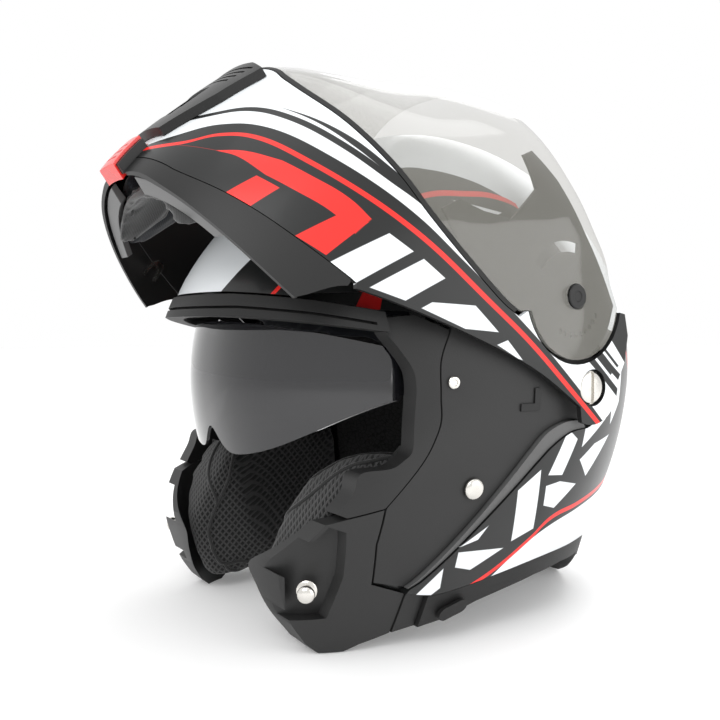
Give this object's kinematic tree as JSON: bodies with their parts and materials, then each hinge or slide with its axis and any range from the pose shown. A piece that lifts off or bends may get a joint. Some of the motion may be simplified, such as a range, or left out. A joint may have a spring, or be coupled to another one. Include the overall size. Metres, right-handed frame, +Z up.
{
  "type": "flip-up motorcycle helmet",
  "caption": "Flip-up motorcycle helmet with a raised chin bar, clear outer visor, dark inner sun visor, padded interior, release latch and chin strap.",
  "frame": {"origin": "middle of the bounding box's bottom face, on the floor that the helmet stands on", "axes": "+Z up, -Y the way the wearer faces, +X the wearer's left; the YZ plane mirrors the helmet"},
  "size_m": [0.2644, 0.3358, 0.3117],
  "materials": {
    "shell_paint": "gloss painted white with printed bands",
    "bar_paint": "gloss painted white with a satin black main field",
    "matte_black": "fine grained matte black",
    "satin_grey": "satin dark grey",
    "foam": "black moulded bead foam",
    "mesh_fabric": "dark open mesh over foam",
    "rubber": "soft black rubber",
    "nickel": "bright nickel plated",
    "red_plastic": "satin red",
    "light_smoke": "clear light smoke",
    "dark_tint": "dark smoke",
    "webbing": "woven black webbing"
  },
  "bodies": {
    "helmet_shell": {"base_trim": "rubber", "brow_seal": "rubber", "buckle_body": "matte_black", "cheek_pad_l": "mesh_fabric", "cheek_pad_r": "mesh_fabric", "chin_pivot_screw_l": "nickel", "chin_pivot_screw_r": "nickel", "crown_pad": "mesh_fabric", "edge_joiner_l": "matte_black", "edge_joiner_r": "matte_black", "eps_cheek_l": "foam", "eps_cheek_r": "foam", "eps_liner": "foam", "eyeport_frame_l": "matte_black", "eyeport_frame_r": "matte_black", "jaw_cover_l": "matte_black", "jaw_cover_r": "matte_black", "latch_post_l": "nickel", "latch_post_r": "nickel", "neck_roll": "mesh_fabric", "outer_shell": "shell_paint", "panel_clip_l": "matte_black", "panel_clip_r": "matte_black", "panel_screw_l": "nickel", "panel_screw_r": "nickel", "ridge_trim_l": "satin_grey", "ridge_trim_r": "satin_grey", "side_panel_l": "matte_black", "side_panel_r": "matte_black", "strap_l": "webbing", "strap_r": "webbing", "strap_rivet_l": "nickel", "strap_rivet_r": "nickel", "sun_visor_pin_l": "nickel", "sun_visor_pin_r": "nickel"},
    "chin_bar": {"chin_bar_shell": "bar_paint", "chin_lower_band_l": "matte_black", "chin_lower_band_r": "matte_black", "chin_lip_l": "satin_grey", "chin_lip_r": "satin_grey", "chin_foam": "foam", "breath_guard": "mesh_fabric", "chin_vent_cover": "matte_black", "visor_seal": "rubber", "visor_base_plate_l": "matte_black", "visor_base_plate_r": "matte_black", "visor_pivot_cap_l": "matte_black", "visor_pivot_cap_r": "matte_black"},
    "chin_vent_slider": {"chin_vent_slider": "matte_black"},
    "release_button": {"release_button": "red_plastic"},
    "latch_hook_l": {"latch_hook_l": "nickel"},
    "latch_hook_r": {"latch_hook_r": "nickel"},
    "visor": {"visor": "light_smoke"},
    "sun_visor": {"sun_visor": "dark_tint"},
    "sun_visor_slider": {"sun_visor_slider": "rubber"},
    "buckle_lever": {"buckle_lever": "red_plastic"}
  },
  "joints": [
    {"name": "chin_bar_flip", "type": "hinge", "parent": "helmet_shell", "child": "chin_bar", "pos_m": [0, 0.05285, 0.133], "axis": [1, 0, 0], "range_deg": [0, 55]},
    {"name": "visor_tilt", "type": "hinge", "parent": "chin_bar", "child": "visor", "pos_m": [0, 0.04053, 0.18163], "axis": [-1, 0, 0], "range_deg": [0, 32]},
    {"name": "sun_visor_swing", "type": "hinge", "parent": "helmet_shell", "child": "sun_visor", "pos_m": [0, 0.03085, 0.134], "axis": [-1, 0, 0], "range_deg": [0, 27]},
    {"name": "sun_visor_slide", "type": "slide", "parent": "helmet_shell", "child": "sun_visor_slider", "axis": [0, -0.9487, -0.3162], "range_m": [0, 0.012]},
    {"name": "chin_vent_slide", "type": "slide", "parent": "chin_bar", "child": "chin_vent_slider", "axis": [0, 0.7834, 0.6216], "range_m": [0, 0.01]},
    {"name": "release_button_press", "type": "slide", "parent": "chin_bar", "child": "release_button", "axis": [0, 0.5736, -0.8191], "range_m": [0, 0.003], "stiffness_N_per_m": 400},
    {"name": "latch_hook_l_pull", "type": "slide", "parent": "chin_bar", "child": "latch_hook_l", "axis": [-0.2556, 0.4972, 0.8291], "range_m": [0, 0.004]},
    {"name": "latch_hook_r_pull", "type": "slide", "parent": "chin_bar", "child": "latch_hook_r", "axis": [0.2556, 0.4972, 0.8291], "range_m": [0, 0.004]},
    {"name": "buckle_lever_lift", "type": "hinge", "parent": "helmet_shell", "child": "buckle_lever", "pos_m": [-0.006, -0.01615, 0.0136], "axis": [0, -1, 0], "range_deg": [0, 40]}
  ],
  "couplings": [
    {"joint": "latch_hook_l_pull", "follows": "release_button_press", "ratio": 1.3333},
    {"joint": "latch_hook_r_pull", "follows": "release_button_press", "ratio": 1.3333},
    {"joint": "sun_visor_slide", "follows": "sun_visor_swing", "m_per_rad": 0.0254}
  ]
}
